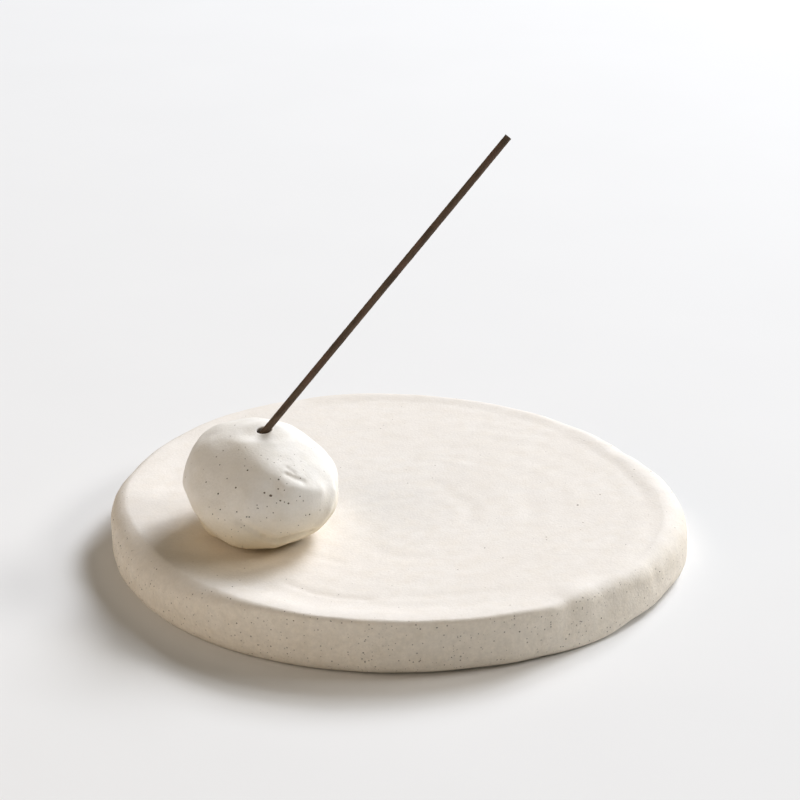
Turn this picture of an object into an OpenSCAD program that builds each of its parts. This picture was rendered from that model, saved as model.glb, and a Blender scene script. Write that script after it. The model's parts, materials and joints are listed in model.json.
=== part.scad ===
// Incense stick holder: a thick hand-pressed stoneware plate, a loose clay pebble that stands
// on it, and an incense stick that leans in the slanting hole of the pebble.
// Millimetres, +Z up. The origin is the centre of the plate's underside.

/* [Plate] */
// Diameter of the plate, before its hand-pressed flats and swellings
plate_d = 164; // [140:1:200]
// Height of the rim above the table
plate_h = 16; // [13:0.5:22]
// Depth of the dish floor below the rim
dish_depth = 1.2; // [0.8:0.1:3]
// Width of the raised rim at the back, from the outer wall to the dish floor
rim_w = 8; // [7.5:0.25:12]
// Rounding where the outer wall turns into the rim
lip_r = 3; // [2:0.25:4]
// Rounding where the outer wall turns under
foot_r = 4; // [2.5:0.25:5]

/* [Pebble] */
// Width of the pebble, left to right
pebble_w = 43.8; // [38:0.2:50]
// Length of the pebble, front to back
pebble_l = 50; // [40:0.2:56]
// Height of the pebble above the dish floor
pebble_h = 30.5; // [28:0.5:40]
// Heading of the pebble from the plate's centre, in degrees from +X towards +Y
pebble_heading = -154.5; // [-175:0.5:-130]
// Distance from the pebble's side to the plate's edge
pebble_inset = 17.2; // [14:0.1:30]
// Gap between the pebble's foot and the dish floor
seat_gap = 0.1; // [0.05:0.05:0.3]

/* [Stick] */
// Diameter of the incense stick
stick_d = 2.1; // [1.4:0.1:2.4]
// Whole length of the incense stick
stick_len = 127; // [90:1:160]
// Heading of the stick over the plate, in degrees from +X towards +Y
stick_heading = 18; // [-20:1:60]
// Rise of the stick above the horizontal, in degrees
stick_rise = 48; // [42:1:65]

/* [Hole] */
// Radial room between the stick and the wall of its hole
hole_room = 0.45; // [0.4:0.05:0.9]
// Depth of the hole, along its axis from the pebble's top
hole_depth = 21.5; // [14:0.5:24]
// Place of the hole's mouth to the right of the pebble's centre
mouth_x = 1.6; // [-3:0.1:3]
// Place of the hole's mouth behind the pebble's centre
mouth_y = -0.7; // [-4:0.1:4]
// Play left where the stick touches the hole's wall and floor
touch_play = 0.1; // [0.05:0.01:0.15]

/* [Hidden] */
clay = "#e6ddcf";
pale_clay = "#ece7dd";
incense_brown = "#4d3a2c";

// Facets around the plate, and around and up the pebble
plate_turns = 96;
pebble_turns = 60;
pebble_rings = 30;
// Step of the rounded stretches of the plate's section, in degrees
arc_step = 15;

// Hand-pressed shape of the plate, as soft swells around its edge: [heading, share, tightness].
// The share is of the plate's diameter, of the dish's depth, of the rim's width and of the lip's rounding
outline_swells = [[26, -0.024, 2.5], [111, 0.026, 2.7], [-54, -0.009, 8], [-4, 0.018, 15], [176, 0.006, 40]];
crest_swells = [[-34, -0.95, 14], [-100, 0.5, 4], [110, 0.3, 6], [20, 0.25, 10]];
rim_swells = [[-95, 1, 3], [10, 0.2, 12], [180, 0.25, 6]];
lip_swells = [[180, 1.15, 3], [-24, 0.5, 8]];

// Hand-pressed shape of the pebble, as soft swells on a round stone:
// [heading, rise, size as a share of the stone's radius, tightness]
stone_swells = [
    [157, 40, 0.075, 7],
    [23, 40, -0.03, 6],
    [-23, -40, 0.06, 7],
    [-157, -38, 0.02, 7],
    [-118, 14, -0.05, 8],
    [-62, 34, 0.03, 10],
    [-20, 12, 0.02, 12],
    [-70, -20, -0.03, 10],
    [70, 5, -0.02, 6],
    [100, -30, 0.03, 6],
];
// Level where the stone is pressed flat, as a share of its radius below its middle
stone_foot = 0.9;

floor_z = plate_h - dish_depth;
seat_z = floor_z + seat_gap;
pebble_reach = plate_d / 2 - pebble_inset - pebble_w / 2;
pebble_x = pebble_reach * cos(pebble_heading);
pebble_y = pebble_reach * sin(pebble_heading);
hole_d = stick_d + 2 * hole_room;
// Depth of the cuts that square off the feet
foot_cut = plate_h;

// Sum of a row of swells at heading a
function swell(rows, a) = sum_of([for (s = rows) s[1] * exp(s[2] * (cos(a - s[0]) - 1))]);
function sum_of(v, i = 0) = i < len(v) ? v[i] + sum_of(v, i + 1) : 0;
function column(rows, i) = [for (r = rows) r[i]];
function middle(v) = (min(v) + max(v)) / 2;
function span(v) = max(v) - min(v);
function heading_and_rise(a, e) = [cos(e) * cos(a), cos(e) * sin(a), sin(e)];

// Faces that close rings of points, each ring with n points, between a first and a last point
function ring_faces(n, rings) = concat(
    [for (i = [0:n - 1]) [0, 1 + i, 1 + (i + 1) % n]],
    [for (k = [0:rings - 2], i = [0:n - 1], half = [0, 1])
        let (a = 1 + k * n + i, b = 1 + k * n + (i + 1) % n)
        half == 0 ? [a, a + n, b] : [b, a + n, b + n]],
    [for (i = [0:n - 1], last = 1 + rings * n) [last, last - n + (i + 1) % n, last - n + i]]);

// Plate

plate_angles = [for (i = [0:plate_turns - 1]) i * 360 / plate_turns];
outline = [for (a = plate_angles) plate_d * (0.5 + swell(outline_swells, a)) * [cos(a), sin(a)]];
outline_mid = [middle(column(outline, 0)), middle(column(outline, 1))];

// Half section of the plate at heading a, from under the foot to the dish floor: [inset, height]
function plate_section(a) =
    let (top = plate_h + dish_depth * swell(crest_swells, a))
    let (lip = lip_r * (1 + swell(lip_swells, a)), rim = rim_w * (1 + swell(rim_swells, a)))
    concat(
        [[foot_r, -foot_cut]],
        [for (t = [0:arc_step:90]) [foot_r * (1 - sin(t)), foot_r * (1 - cos(t))]],
        [for (t = [0:arc_step:90]) [lip * (1 - cos(t)), top - lip * (1 - sin(t))]],
        [for (t = [45:45:180]) [lip + (rim - lip) * t / 180, floor_z + (top - floor_z) * (1 + cos(t)) / 2]]);

function plate_point(i, inset, z) =
    let (a = plate_angles[i], p = outline[i] - inset * [cos(a), sin(a)] - outline_mid) [p.x, p.y, z];

module plate() {
    sections = [for (a = plate_angles) plate_section(a)];
    rings = len(sections[0]);
    points = concat(
        [[0, 0, -foot_cut]],
        [for (k = [0:rings - 1], i = [0:plate_turns - 1])
            plate_point(i, sections[i][k][0], sections[i][k][1])],
        [[0, 0, floor_z]]);
    color(clay) difference() {
        polyhedron(points, ring_faces(plate_turns, rings), convexity = 4);
        translate([-plate_d, -plate_d, -2 * foot_cut]) cube([2 * plate_d, 2 * plate_d, 2 * foot_cut]);
    }
}

// Pebble

function stone_radius(d) =
    1 + sum_of([for (s = stone_swells) s[2] * exp(s[3] * (d * heading_and_rise(s[0], s[1]) - 1))]);
function stone_point(a, e) = let (d = heading_and_rise(a, e)) stone_radius(d) * d;

stone = concat(
    [stone_point(0, -90)],
    [for (k = [1:pebble_rings - 1], i = [0:pebble_turns - 1])
        stone_point(i * 360 / pebble_turns, 180 * k / pebble_rings - 90)],
    [stone_point(0, 90)]);
// The stone is stretched so that its box, above its foot, has the pebble's own sizes
stone_scale = [
    pebble_w / span(column(stone, 0)),
    pebble_l / span(column(stone, 1)),
    pebble_h / (max(column(stone, 2)) + stone_foot)];
stone_place = [
    pebble_x - stone_scale.x * middle(column(stone, 0)),
    pebble_y - stone_scale.y * middle(column(stone, 1)),
    seat_z + stone_scale.z * stone_foot];

module pebble() {
    points = [for (p = stone) [for (i = [0:2]) stone_place[i] + stone_scale[i] * p[i]]];
    color(pale_clay) difference() {
        polyhedron(points, ring_faces(pebble_turns, pebble_rings - 1), convexity = 2);
        translate([pebble_x - pebble_w, pebble_y - pebble_l, seat_z - foot_cut])
            cube([2 * pebble_w, 2 * pebble_l, foot_cut]);
        along_hole() translate([0, 0, -hole_depth]) cylinder(d = hole_d, h = 2 * hole_depth, $fn = 48);
    }
}

// Hole and stick

// The stick lies askew in its hole: it touches the low side at the mouth and the high side at the floor
stick_skew = atan((2 * hole_room - 2 * touch_play) / hole_depth);
mouth = [pebble_x + mouth_x, pebble_y + mouth_y, seat_z + pebble_h];

module along_hole() {
    translate(mouth) rotate([0, 90 - stick_rise - stick_skew, stick_heading]) children();
}

module incense_stick() {
    color(incense_brown)
        along_hole()
            translate([0, 0, -hole_depth / 2])
                rotate([0, stick_skew, 0])
                    translate([0, 0, -hole_depth / 2 + stick_d * tan(stick_skew) / 2 + touch_play])
                        cylinder(d = stick_d, h = stick_len, $fn = 48);
}

plate();
pebble();
incense_stick();
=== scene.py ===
# %% [markdown]
# # A clay incense holder, piece by piece
# A thick hand-pressed plate catches the ash, a loose clay pebble stands on it, and a stick of
# incense leans in the slanting hole of the pebble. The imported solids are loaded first. They
# give every place and size, so that each piece made below lands where the solid is.

# %% Load the frame
import json
import math

import bpy
import numpy as np
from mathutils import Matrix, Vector, noise


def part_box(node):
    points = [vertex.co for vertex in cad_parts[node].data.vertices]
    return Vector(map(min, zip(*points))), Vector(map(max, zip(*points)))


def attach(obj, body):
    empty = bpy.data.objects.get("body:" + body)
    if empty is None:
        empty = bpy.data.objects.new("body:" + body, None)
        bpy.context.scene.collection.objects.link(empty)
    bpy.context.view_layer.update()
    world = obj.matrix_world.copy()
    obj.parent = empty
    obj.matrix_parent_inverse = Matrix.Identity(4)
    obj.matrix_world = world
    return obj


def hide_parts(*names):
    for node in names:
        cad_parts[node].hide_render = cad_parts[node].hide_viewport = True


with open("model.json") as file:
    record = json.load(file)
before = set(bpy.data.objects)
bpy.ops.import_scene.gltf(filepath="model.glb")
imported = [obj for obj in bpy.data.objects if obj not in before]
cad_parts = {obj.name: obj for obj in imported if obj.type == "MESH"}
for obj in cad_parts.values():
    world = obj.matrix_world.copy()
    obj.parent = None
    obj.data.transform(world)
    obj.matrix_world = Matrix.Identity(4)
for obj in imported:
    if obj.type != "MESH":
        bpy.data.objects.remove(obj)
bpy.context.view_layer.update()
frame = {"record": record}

MM = 0.001
scene = bpy.context.scene
scene.view_settings.view_transform = "Standard"

# %% [markdown]
# ## Camera
# The plate's outline in the photograph gives the viewpoint: a long lens, about 0.9 m away,
# which looks down at the plate. The camera comes before the pieces, because it says how
# much of each one shows and how fine its detail has to be.

# %% Camera
EYE = Vector((-0.28, -817.4, 378.0)) * MM
LOOK_DOWN = math.radians(22.08)
LOOK_RIGHT = math.radians(0.05)
FOCAL_PX = 3103.5
IMAGE_PX = 800
camera_data = bpy.data.cameras.new("photo_camera")
camera_data.sensor_fit = "HORIZONTAL"
camera_data.lens = FOCAL_PX / IMAGE_PX * camera_data.sensor_width
camera = bpy.data.objects.new("photo_camera", camera_data)
camera.location = EYE
camera.rotation_euler = (math.pi / 2 - LOOK_DOWN, 0, -LOOK_RIGHT)
scene.collection.objects.link(camera)
scene.camera = camera
print("lens", round(camera_data.lens, 1), "mm")

# %% [markdown]
# ## Helpers for hand-formed clay
# Hand-formed clay is a simple form plus what the hands did to it: broad swells, finger marks
# along a path, and soft unevenness. Each of these is a small function that gives a height
# in millimetres, and a piece adds them up. Numpy does this for all points at once.

# %% Boxes and swells
STEPS_PER_DEGREE = 4


def box_mm(node):
    """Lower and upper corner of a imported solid, in mm."""
    low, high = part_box(node)
    return np.array(low) / MM, np.array(high) / MM


def swell(rows, heading):
    """Sum of soft swells at each heading: a row is (heading in degrees, share, tightness)."""
    return sum(share * np.exp(tight * (np.cos(np.radians(heading - at)) - 1)) for at, share, tight in rows)


def by_heading(rows, heading, blur=5):
    """Smooth values round the plate from (heading in degrees, value) rows."""
    fine = np.arange(360 * STEPS_PER_DEGREE) / STEPS_PER_DEGREE
    value = np.interp(fine, [h for h, v in rows], [v for h, v in rows], period=360)
    away = np.minimum(fine, 360 - fine)
    weight = np.exp(-(away / blur) ** 2)
    value = np.fft.irfft(np.fft.rfft(value) * np.fft.rfft(weight / weight.sum()), len(fine))
    return np.interp(heading, fine, value, period=360)


# %% Marks and unevenness
SEED_SHIFT = (17.3, 5.1, 9.7)


def distance_to_path(points, path):
    """Distance of each point to a path of straight stretches."""
    best = np.full(len(points), np.inf)
    for a, b in zip(path[:-1], path[1:]):
        along = np.clip((points - a) @ (b - a) / ((b - a) @ (b - a)), 0, 1)
        best = np.minimum(best, np.linalg.norm(points - a - along[:, None] * (b - a), axis=1))
    return best


def pressed(points, marks):
    """Height in mm that finger marks add: a mark is (path, height, half width)."""
    height = np.zeros(len(points))
    for path, top, width in marks:
        height += top * np.exp(-(distance_to_path(points, np.array(path, float)) / width) ** 2)
    return height


def unevenness(points, lump, seed):
    """Smooth noise between about -1 and 1, with lumps of that size in mm."""
    shift = Vector([step * seed for step in SEED_SHIFT])
    return np.array([noise.noise(Vector(p) / lump + shift) for p in points])


def fade(value, start, end):
    """Smooth step from 0 at start to 1 at end."""
    t = np.clip((value - start) / (end - start), 0, 1)
    return t * t * (3 - 2 * t)


# %% Meshes from rings of points
def grid_normals(grid):
    """Outward unit normals of a grid of points, whose second axis runs round the piece."""
    across = np.gradient(grid, axis=0)
    around = np.roll(grid, -1, axis=1) - np.roll(grid, 1, axis=1)
    normal = np.cross(around, across)
    return normal / np.maximum(np.linalg.norm(normal, axis=2, keepdims=True), 1e-9)


def clay_piece(name, grid, first, last, **attributes):
    """A closed smooth mesh from rings of points in mm, with one point at each end."""
    rings, turns = grid.shape[:2]
    points = np.concatenate([[first], grid.reshape(-1, 3), [last]]) * MM
    ring = 1 + np.arange(turns)
    ahead = np.roll(ring, -1)
    faces = [(0, int(b), int(a)) for a, b in zip(ring, ahead)]
    for k in range(rings - 1):
        low, high = k * turns, (k + 1) * turns
        faces += [(int(a + low), int(b + low), int(b + high), int(a + high)) for a, b in zip(ring, ahead)]
    top = (rings - 1) * turns
    faces += [(len(points) - 1, int(a + top), int(b + top)) for a, b in zip(ring, ahead)]
    mesh = bpy.data.meshes.new(name)
    mesh.from_pydata(points.tolist(), [], faces)
    mesh.shade_smooth()
    for title, value in attributes.items():
        value = np.concatenate([[value[0]], value, [value[-1]]])
        mesh.attributes.new(title, "FLOAT", "POINT").data.foreach_set("value", value)
    piece = bpy.data.objects.new(name, mesh)
    scene.collection.objects.link(piece)
    print(name, len(points), "points,", sum(len(f) - 2 for f in faces), "triangles")
    return piece


# %% [markdown]
# ## The plate
# The real plate is a slab of stoneware, cut round and pressed by hand, so its outline has a
# few flats and swellings and its rim rises and dips. A turned or subdivided disc would be too
# even, so a polar grid is used: rings of points run from under the foot, up the wall, over
# the lip and down to the dish floor. The outline has the solid's own swells. The section
# changes with the heading: the lip is crisp at the front and broad at the left and at the
# right end, the wall leans back a little at the right front, and the foot turns under most
# at the front.

# %% Outline of the plate
# A swell is (heading in degrees, share of the diameter, tightness)
OUTLINE_SWELLS = [
    (26, -0.024, 2.5), (111, 0.026, 2.7), (-54, -0.009, 8), (-4, 0.018, 15), (176, 0.006, 40),
]
SEAT_GAP = 0.1
PLATE_TURNS = 620

plate_low, plate_high = box_mm("plate")
pebble_low, pebble_high = box_mm("pebble")
floor_z = pebble_low[2] - SEAT_GAP
pebble_mid = (pebble_low + pebble_high) / 2
heading = np.arange(PLATE_TURNS) * 360 / PLATE_TURNS
outward = np.stack([np.cos(np.radians(heading)), np.sin(np.radians(heading))], axis=1)
outline = outward * (0.5 + swell(OUTLINE_SWELLS, heading))[:, None]
plate_d = (plate_high[0] - plate_low[0]) / np.ptp(outline[:, 0])
outline = plate_d * (outline - (outline.min(0) + outline.max(0)) / 2)
edge = np.concatenate([outline, np.zeros((PLATE_TURNS, 1))], axis=1)
print("plate", round(plate_d, 1), "mm across, dish floor at", round(floor_z, 2), "mm")

# %% Rim and lip of the plate
# A row is (heading in degrees, value): mm, or a share for the slant and the stretch of the lip
CREST_ABOVE_FLOOR = [
    (180, 0.7), (-150, 0.5), (-136, 1.1), (-124, 2.3), (-112, 2.6), (-92, 2.5), (-74, 1.9), (-66, 1.7),
    (-58, 0.9), (-53, 1.6), (-48, 1.1), (-42, 0.5), (-36, 0.3), (-27, -0.3), (-17, 0.3), (0, 1.1),
    (20, 1.2), (60, 1.1), (110, 1.4), (140, 1.3), (160, 1.0),
]
LIP_RADIUS = [
    (180, 4.4), (-169, 5.4), (-158, 6.2), (-146, 6.0), (-134, 4.6), (-123, 2.8), (-112, 1.3), (-75, 1.1),
    (-63, 1.5), (-56, 2.5), (-50, 4.2), (-43, 4.2), (-36, 3.4), (-27, 6.0), (-19, 7.4), (-9, 7.0),
    (3, 5.0), (14, 3.6), (90, 3.0), (150, 2.6), (170, 3.4),
]
LIP_SLANT = [
    (180, 0.4), (-150, 0.5), (-132, 0.4), (-118, 0.1), (-60, 0.0), (0, 0.15), (90, 0.1), (150, 0.1),
]
LIP_STRETCH = [
    (180, 1.0), (-38, 1.0), (-24, 0.7), (-10, 0.9), (4, 1.5), (16, 1.9), (30, 1.8), (50, 1.5), (90, 1.3),
    (140, 1.1),
]
RIM_WIDTH = [
    (180, 20), (-146, 18), (-120, 16), (-95, 16), (-60, 13), (-30, 12), (0, 12.5), (20, 12.5), (45, 10.5),
    (90, 9), (140, 12),
]
CREST_WAVE = 0.22
LIP_WAVE = 0.35
RIM_WAVE = 1.6

crest_z = floor_z + by_heading(CREST_ABOVE_FLOOR, heading, blur=3)
crest_z = crest_z + CREST_WAVE * unevenness(edge, lump=12, seed=21)
lip = by_heading(LIP_RADIUS, heading)
slant = by_heading(LIP_SLANT, heading, blur=10)
stretch = by_heading(LIP_STRETCH, heading, blur=8)
lip_across = lip * stretch * (1 + LIP_WAVE * (stretch - 1) * unevenness(edge, lump=12, seed=24))
rim = by_heading(RIM_WIDTH, heading, blur=10) + RIM_WAVE * unevenness(edge, lump=16, seed=22)
print("rim", round(crest_z.min(), 1), "to", round(crest_z.max(), 1), "mm high")

# %% Wall and foot of the plate
# A row is (heading in degrees, mm)
WALL_LEAN = [
    (180, 0), (-72, 0), (-66, -0.4), (-59, -0.5), (-53, 1.0), (-48, 0.6), (-43, 1.2), (-37, 1.0), (-28, 0.8),
    (-18, 0.5), (-6, 0.2), (12, 0),
]
FOOT_ROUND = [
    (180, 4), (-150, 4.4), (-130, 4.4), (-118, 5.2), (-100, 5.8), (-80, 5.8), (-70, 4.8), (-62, 4),
    (-56, 2.8), (-48, 1.2), (-43, 2.2), (-38, 3.8), (-30, 3.4), (-22, 4.6), (-14, 4), (0, 3.5), (60, 4),
]
FOOT_WAVE = 0.25

lean = by_heading(WALL_LEAN, heading, blur=3)
foot_r = by_heading(FOOT_ROUND, heading, blur=3)
foot_wave = FOOT_WAVE * unevenness(edge, lump=13, seed=23)
print("foot rounded by", round(foot_r.min(), 1), "to", round(foot_r.max(), 1), "mm")

# %% Rings of the plate
UNDER_INSETS = (64, 48, 32, 20, 12, 7)
ARC_RINGS = 15
WALL_RINGS = 15
SLOPE_RINGS = 21
DISH_RINGS = 78
DISH_RISE = 0.8
LEVEL_TO, RISES_TO = 18, 85


def ring(inset, z):
    """One ring of points, at an inset from the outline and a height, both by heading."""
    flat = outline - outward * np.broadcast_to(inset, heading.shape)[:, None]
    return np.concatenate([flat, np.broadcast_to(z, heading.shape)[:, None]], axis=1)


def dish_z(flat):
    """Height of the dish floor: level where the pebble stands, and a little higher away from it."""
    away = np.linalg.norm(flat - pebble_mid[:2], axis=1)
    return floor_z + DISH_RISE * fade(away, LEVEL_TO, RISES_TO)


quarter = np.radians(np.linspace(0, 90, ARC_RINGS))
under = [ring(inset, 0.0) for inset in UNDER_INSETS]
foot = [ring(foot_wave + foot_r * (1 - math.sin(t)), foot_r * (1 - math.cos(t))) for t in quarter]
wall_top = crest_z - lip
wall = [ring(foot_wave * (1 - t) + lean * t, foot_r + (wall_top - foot_r) * t)
        for t in np.linspace(0, 1, WALL_RINGS)[1:-1]]
roll = []
for t in quarter:
    share = t / quarter[-1]
    inward = (1 - slant) * (1 - math.cos(t)) + slant * share
    below = (1 - slant) * (1 - math.sin(t)) + slant * (1 - share)
    roll.append(ring(lean + lip_across * inward, crest_z - lip * below))
rim_end = outline - outward * rim[:, None]
rim_end_z = dish_z(rim_end)
lip_end = lean + lip_across
slope = [ring(lip_end + (rim - lip_end) * t,
              rim_end_z + (crest_z - rim_end_z) * (1 + math.cos(math.pi * t)) / 2)
         for t in np.linspace(0, 1, SLOPE_RINGS)[1:]]
dish = [np.concatenate([rim_end * t, dish_z(rim_end * t)[:, None]], axis=1)
        for t in np.linspace(1, 0, DISH_RINGS)[1:-1]]
plate_grid = np.array(under + foot + wall + roll + slope + dish)
print("plate rings", len(plate_grid))

# %% [markdown]
# ## Hand marks on the plate
# A wet finger or a rib smooths the top of such a plate in arcs and leaves ridges that are
# less than a tenth of a millimetre high, with a few deeper strokes and grooves. On the wall,
# the fingers that lifted the slab leave flats with soft corners, and at the right front they
# press short scallops into the rim. All of this is real relief and not paint, because the low
# light draws it, and because a mesh keeps it from any side.

# %% Where the fingers went
# In mm and degrees: a mark on the top is (path, height, half width), a flat on the wall is
# (heading, height), and a press on the rim is (heading, upper end, lower end, height, half width)
TOP_MARKS = [
    ([(7, 30), (14, 29), (20, 25)], 0.11, 1.8),
    ([(-11, 25), (-6, 28), (0, 29)], 0.09, 1.9),
    ([(10, 13), (15, 6), (18, -1), (20, -8), (20, -15)], -0.11, 2.6),
    ([(38, 16), (39, 1), (37, -20)], -0.11, 4.0),
    ([(-15, -5), (-6, 0), (3, 2)], -0.10, 2.0),
    ([(-26, -35), (-16, -42)], -0.12, 1.6),
    ([(-9, -26), (-4, -37), (10, -41)], -0.10, 3.0),
    ([(-30, -55), (-23, -61), (-16, -64), (-9, -65)], -0.3, 1.6),
    ([(-9, -65), (9, -64), (27, -61)], -0.12, 2.0),
]
FINGER_FLATS = [
    (-66, 0.0), (-58, -0.1), (-31, 0.2), (-15, 0.0), (5, 0.0), (14, 0.25), (22, -0.2), (40, 0.2), (75, -0.2),
    (120, 0.3), (150, -0.3), (180, 0.2), (-150, -0.2), (-128, 0.25), (-112, -0.15), (-95, 0.1), (-80, -0.1),
]
FINGER_PRESSES = [
    (-62, 13, 11, -0.2, 2.8), (-56, 14, 10, -0.5, 3.2), (-46, 13, 9, -0.5, 4.0), (-36.5, 13, 10, -0.28, 3.0),
    (-28.5, 12, 8, -0.25, 2.4), (30, 14, 8, -0.4, 3.4), (38, 13, 9, -0.3, 3.0), (112, 14, 8, -0.4, 3.6),
    (121, 13, 8, -0.35, 2.8), (163, 12, 7, -0.35, 3.0), (-172, 10, 6, -0.3, 3.0), (-140, 9, 6, -0.3, 3.4),
]
print(len(TOP_MARKS), "marks on the top,", len(FINGER_PRESSES), "presses on the rim")

# %% Which points lie on the top and on the wall
DISH_FROM, DISH_TO = 6, 12
SEAT_FROM, SEAT_TO = 15, 21
OFF_TABLE = 2.5

plate_points = plate_grid.reshape(-1, 3)
plate_normals = grid_normals(plate_grid).reshape(-1, 3)
facing_up = np.clip(plate_normals[:, 2], 0, 1)
point_heading = np.degrees(np.arctan2(plate_points[:, 1], plate_points[:, 0]))
outline_r = np.interp(point_heading, heading, np.linalg.norm(outline, axis=1), period=360)
inset = outline_r - np.linalg.norm(plate_points[:, :2], axis=1)
on_dish = fade(inset, DISH_FROM, DISH_TO) * facing_up
on_side = 1 - facing_up ** 2
above_table = fade(plate_points[:, 2], 0, OFF_TABLE)
from_seat = np.linalg.norm(plate_points[:, :2] - pebble_mid[:2], axis=1)
on_top = on_dish * fade(from_seat, SEAT_FROM, SEAT_TO)
print(int((on_top > 0.5).sum()), "points on the top")

# %% Relief of the plate
SMOOTHING_CENTRE = np.array([9.0, -8.0])
ARC_SPACING = 8.5
ARC_WANDER = 2.5
ARC_RIDGE = 0.045
TOP_WAVE = 0.13
SIDE_WAVE = 0.22
SIDE_LUMPS = 0.08
RIM_LUMPS = 0.12
FLATS_FROM, FLATS_FULL = 1, 8

sweep = np.linalg.norm(plate_points[:, :2] - SMOOTHING_CENTRE, axis=1)
arcs = np.cos(2 * np.pi * sweep / ARC_SPACING + ARC_WANDER * unevenness(plate_points, lump=30, seed=1))
patches = np.clip(0.5 + unevenness(plate_points, lump=22, seed=2), 0, 1)
height = on_top * (ARC_RIDGE * arcs * patches + TOP_WAVE * unevenness(plate_points, lump=24, seed=3))
height += on_top * pressed(plate_points[:, :2], TOP_MARKS)
height += on_side * (SIDE_WAVE * unevenness(plate_points, lump=11, seed=4)
                     + SIDE_LUMPS * unevenness(plate_points, lump=4.5, seed=5))
up_wall = fade(plate_points[:, 2], FLATS_FROM, FLATS_FULL)
height += on_side * up_wall * by_heading(FINGER_FLATS, point_heading, blur=2)
for toward, upper, lower, top, half_width in FINGER_PRESSES:
    nearest = outline[int(round(toward * PLATE_TURNS / 360)) % PLATE_TURNS]
    height += pressed(plate_points, [([(*nearest, upper), (*nearest, lower)], top, half_width)])
height += (1 - on_dish) * facing_up * RIM_LUMPS * unevenness(plate_points, lump=9, seed=6)
shaped = plate_points + plate_normals * (height * above_table)[:, None]
print("plate relief", round(height.min(), 2), "to", round(height.max(), 2), "mm")

# %% The plate itself
# Painted warm shadow: the top is tinted warmer and darker in front of the pebble, where its shadow falls
SHADOW_TINT_PLACE = np.array([-8.5, -14.5])
SHADOW_TINT_FROM, SHADOW_TINT_TO = 11, 27
SHADOW_TINT_SHARE = 0.5
TOP_SPECKS = 0.012

from_shadow_tint = np.linalg.norm(plate_points[:, :2] - pebble_mid[:2] - SHADOW_TINT_PLACE, axis=1)
painted_shadow = SHADOW_TINT_SHARE * (1 - fade(from_shadow_tint, SHADOW_TINT_FROM, SHADOW_TINT_TO)) * (1 - on_side)
specks_here = above_table * (TOP_SPECKS + (1 - TOP_SPECKS) * on_side)
top_middle = (0, 0, shaped[-PLATE_TURNS:, 2].mean())
# Besides the wall's dust and grain, its mask places the wall's painted shade tint
plate = clay_piece("hand_pressed_plate", shaped.reshape(plate_grid.shape), (0, 0, 0), top_middle,
                   side=on_side, toasted=painted_shadow, speckled=specks_here)

# %% [markdown]
# ## The pebble
# The real pebble is a ball of clay, rolled in the hand and pressed flat below, with a hole
# pushed in on a slant. A ball with a hole needs rings that start at the hole: they come up
# its wall, roll over its mouth, and then run down the ball to the foot. The swells are the
# solid's own. Finger marks follow short paths on the ball, soft planes cut the flats that a
# thumb leaves, and the mouth of the hole tips a little to the front.

# %% Where the stick and its hole lie
HOLE_ROOM = 0.45
HOLE_DEPTH = 21.5
TOUCH_PLAY = 0.1

stick_low, stick_high = box_mm("incense_stick")
joints = {j["name"]: j for j in frame["record"]["behaviour"]["joints"]}
stick_axis = np.array(joints["stick_draw"]["axis"], float)
stick_axis /= np.linalg.norm(stick_axis)
# Each side of a slanting rod's box is a share of its length and a share of its radius
box_shares = np.stack([np.abs(stick_axis), 2 * np.sqrt(1 - stick_axis ** 2)], axis=1)
stick_len, stick_r = np.linalg.lstsq(box_shares, stick_high - stick_low, rcond=None)[0]
stick_foot = (stick_low + stick_high) / 2 - stick_axis * stick_len / 2
hole_r = stick_r + HOLE_ROOM
skew = math.atan((2 * HOLE_ROOM - 2 * TOUCH_PLAY) / HOLE_DEPTH)
hole_rise = math.asin(stick_axis[2]) + skew
hole_turn = math.atan2(stick_axis[1], stick_axis[0])
hole_axis = np.array([math.cos(hole_rise) * math.cos(hole_turn), math.cos(hole_rise) * math.sin(hole_turn),
                      math.sin(hole_rise)])
half_depth = HOLE_DEPTH / 2
crossing = stick_foot + stick_axis * (half_depth - stick_r * math.tan(skew) - TOUCH_PLAY)
hole_floor = crossing - hole_axis * half_depth
print("stick", round(stick_len, 1), "mm long, hole", round(2 * hole_r, 2), "mm across")

# %% Swells of the pebble
# A swell is (heading, rise, share of the radius, tightness)
STONE_SWELLS = [
    (157, 40, 0.075, 7), (23, 40, -0.03, 6), (-23, -40, 0.06, 7), (-157, -38, 0.02, 7), (-118, 14, -0.05, 8),
    (-62, 34, 0.03, 10), (-20, 12, 0.02, 12), (-70, -20, -0.03, 10), (70, 5, -0.02, 6), (100, -30, 0.03, 6),
]


def heading_and_rise(at, up):
    """Direction on the ball, from a heading and a rise in degrees."""
    at, up = np.radians(at), np.radians(up)
    level = np.cos(up)
    return np.stack([level * np.cos(at), level * np.sin(at), np.sin(up) * np.ones_like(at)], axis=-1)


def stone_radius(way):
    """Radius of the ball, as a share, in each direction."""
    radius = np.ones(way.shape[:-1])
    for at, up, size, tight in STONE_SWELLS:
        radius = radius + size * np.exp(tight * (way @ heading_and_rise(at, up) - 1))
    return radius


print(len(STONE_SWELLS), "swells on the pebble")

# %% Surface of the pebble
STONE_FOOT = 0.9
STONE_STEP = 6.0

around, upright = np.meshgrid(np.arange(0, 360, STONE_STEP), np.arange(-90, 90 + 1, STONE_STEP))
ways = heading_and_rise(around.ravel(), upright.ravel())
ball = ways * stone_radius(ways)[:, None]
ball_size = np.array([np.ptp(ball[:, 0]), np.ptp(ball[:, 1]), ball[:, 2].max() + STONE_FOOT])
stone_scale = (pebble_high - pebble_low) / ball_size
stone_place = pebble_mid - stone_scale * (ball.min(0) + ball.max(0)) / 2
stone_place[2] = pebble_low[2] + stone_scale[2] * STONE_FOOT


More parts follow.
